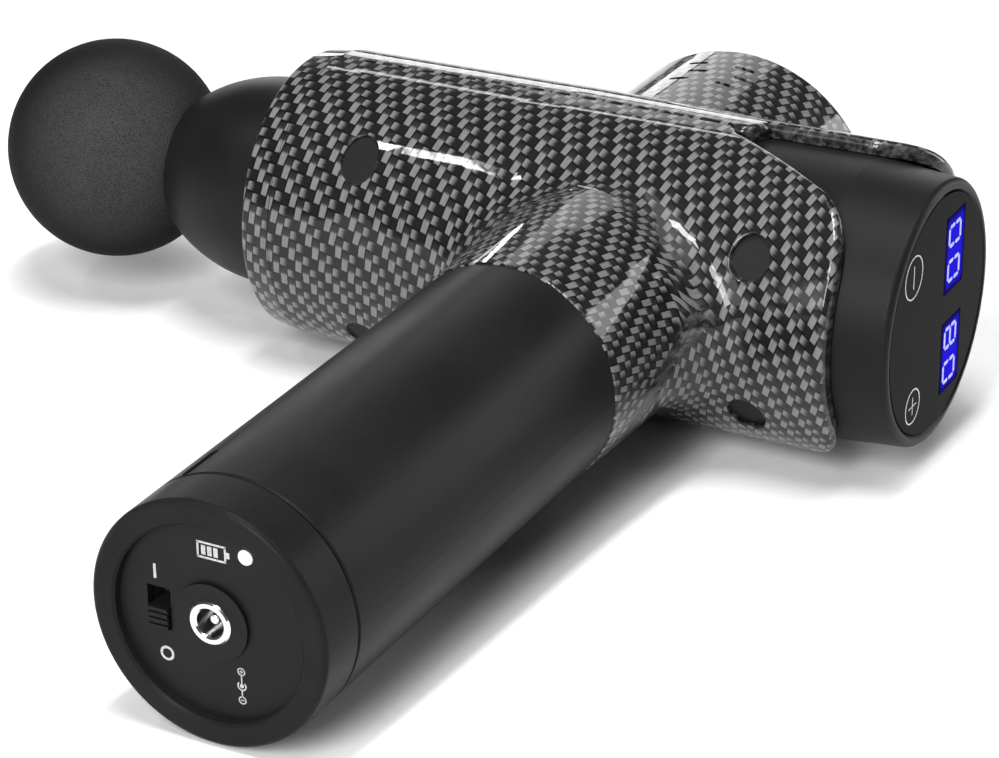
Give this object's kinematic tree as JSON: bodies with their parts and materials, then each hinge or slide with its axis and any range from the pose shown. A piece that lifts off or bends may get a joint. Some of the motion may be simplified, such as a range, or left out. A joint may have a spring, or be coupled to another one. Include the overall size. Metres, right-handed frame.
{
  "type": "massage gun",
  "caption": "Handheld percussion massage gun with a ball head on a reciprocating plunger, a round battery handle, a carbon-look shell and a round touch display.",
  "frame": {"origin": "centre of the flat rim at the base of the handle", "axes": "the gun lies on its right side: -Y points out of the handle's base, -X towards the massage head, +X towards the display, +Z is the gun's left side facing up"},
  "size_m": [0.2364, 0.2302, 0.069],
  "materials": {
    "carbon_gloss": "carbon-fibre twill under clear gloss coat",
    "satin_black": "satin black",
    "matte_black": "fine matte black",
    "grip_black": "smooth satin black",
    "ball_foam": "fine-pored matte black",
    "black_rubber": "matte",
    "display_glass": "glossy black with blue-violet digits",
    "circuit_board": "solder mask green",
    "electronics": "moulded black",
    "led_module": "grey",
    "lens_white": "milky white",
    "jack_metal": "polished nickel",
    "steel": "machined",
    "aluminium_part": "machined",
    "frame_plastic": "glass-filled nylon",
    "holder_plastic": "moulded",
    "bush_polymer": "bearing polymer",
    "copper": "enamelled copper wire",
    "laminations": "laminated steel",
    "magnet": "nickel plated",
    "cell_wrap": "wrapped lithium cell",
    "nickel": "nickel strip",
    "wire_black": "silicone",
    "ribbon": "flat ribbon"
  },
  "bodies": {
    "root": {"handle_side_shell": "carbon_gloss", "motor_side_shell": "carbon_gloss", "front_band": "carbon_gloss", "screw_plugs": "black_rubber", "shell_screws": "steel", "nose_cone": "satin_black", "rear_housing": "matte_black", "display_glass": "display_glass", "display_board": "circuit_board", "display_modules": "led_module", "touch_pads": "black_rubber", "display_screws": "steel", "main_board": "circuit_board", "driver_components": "electronics", "display_ribbon": "ribbon", "grip_tube": "grip_black", "end_cap": "grip_black", "base_panel": "matte_black", "charge_jack": "jack_metal", "charge_pin": "jack_metal", "charge_led": "lens_white", "switch_body": "electronics", "base_board": "circuit_board", "base_components": "electronics", "battery_cells": "cell_wrap", "cell_holders": "holder_plastic", "nickel_straps": "nickel", "battery_leads": "wire_black", "motor_frame": "frame_plastic", "frame_screws": "steel", "motor_bearings": "steel", "stator_core": "laminations", "motor_windings": "copper", "phase_leads": "wire_black", "plunger_bushes": "bush_polymer", "plunger_wiper": "black_rubber"},
    "rotor": {"rotor_magnets": "magnet", "motor_can": "steel", "motor_shaft": "steel", "crank_wheel": "steel", "crank_pin": "steel", "crank_bearing": "steel"},
    "plunger": {"plunger": "aluminium_part", "yoke": "aluminium_part"},
    "massage_head": {"massage_ball": "ball_foam", "head_stem": "satin_black", "head_o_rings": "black_rubber"},
    "power_switch": {"switch_knob": "matte_black"}
  },
  "joints": [
    {"name": "crank_spin", "type": "hinge", "parent": "root", "child": "rotor", "pos_m": [0.0006, 0.184, 0], "axis": [0, 1, 0], "range_deg": [0, 180]},
    {"name": "plunger_slide", "type": "slide", "parent": "root", "child": "plunger", "axis": [-1, 0, 0], "range_m": [0, 0.012]},
    {"name": "head_pull", "type": "slide", "parent": "plunger", "child": "massage_head", "axis": [-1, 0, 0], "range_m": [0, 0.03]},
    {"name": "switch_slide", "type": "slide", "parent": "root", "child": "power_switch", "axis": [0, 0, 1], "range_m": [0, 0.0038]}
  ],
  "couplings": [
    {"joint": "plunger_slide", "follows": "crank_spin", "m_per_rad": 0.0038197}
  ]
}
